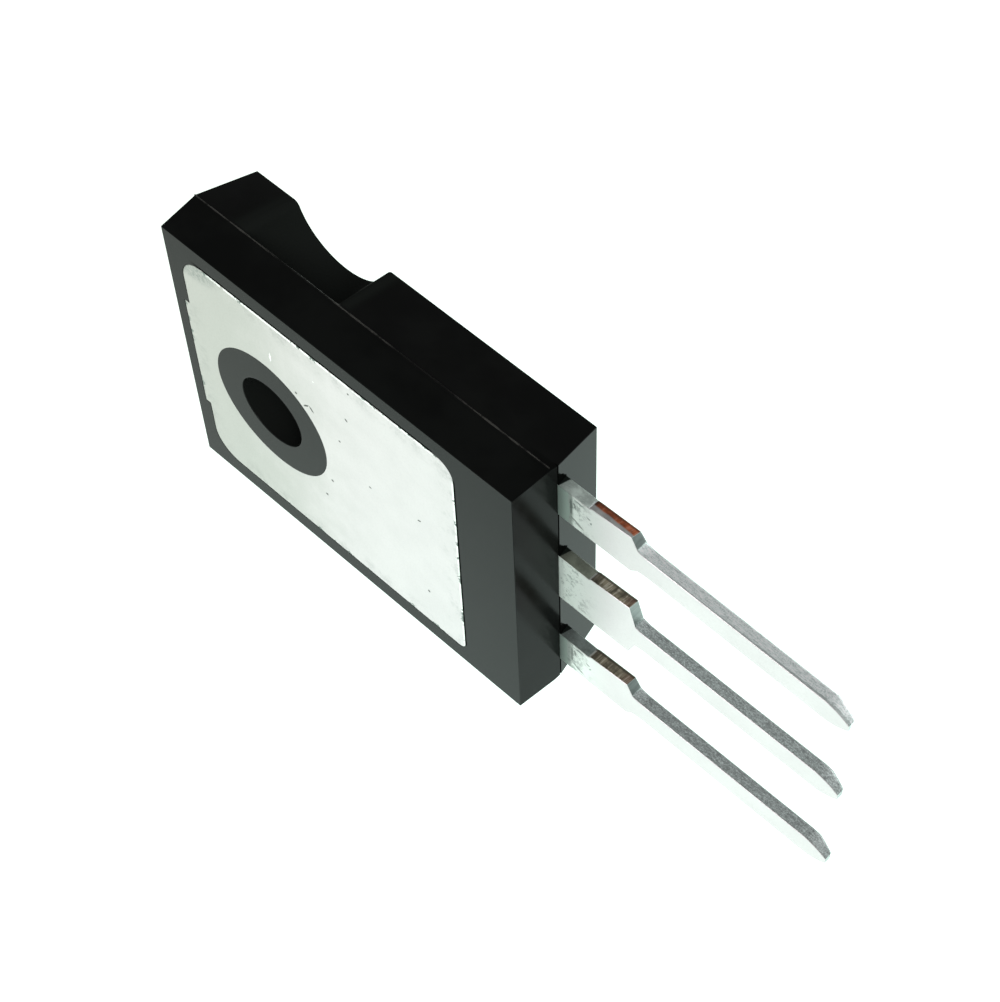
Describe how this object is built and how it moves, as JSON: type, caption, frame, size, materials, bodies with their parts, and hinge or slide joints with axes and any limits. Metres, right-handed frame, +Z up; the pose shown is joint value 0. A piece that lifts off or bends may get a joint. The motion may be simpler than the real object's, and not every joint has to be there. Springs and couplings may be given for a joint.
{
  "type": "power transistor",
  "caption": "Through-hole power transistor: a black moulded body on a bare metal tab, with a mounting hole, side notches and a row of flat stepped leads.",
  "frame": {"origin": "on the mounting hole's axis, in the plane of the bare tab's face", "axes": "+X towards the lead tips, +Y from the tab through the body to the front face, +Z up across the leads, with the part standing on a long side"},
  "size_m": [0.0344, 0.0049, 0.0156],
  "materials": {
    "compound": "satin black moulding compound",
    "plated_copper": "copper with matt tin plating, bare copper where the dam bar was sheared",
    "silicon": "polished silicon",
    "solder": "soft solder",
    "bond_wire": "drawn aluminium wire"
  },
  "bodies": {
    "root": {"moulding": "compound", "header": "plated_copper", "gate_lead": "plated_copper", "source_lead": "plated_copper", "die": "silicon", "die_solder": "solder", "gate_wire": "bond_wire", "source_wire_1": "bond_wire", "source_wire_2": "bond_wire", "source_wire_3": "bond_wire"}
  },
  "joints": []
}
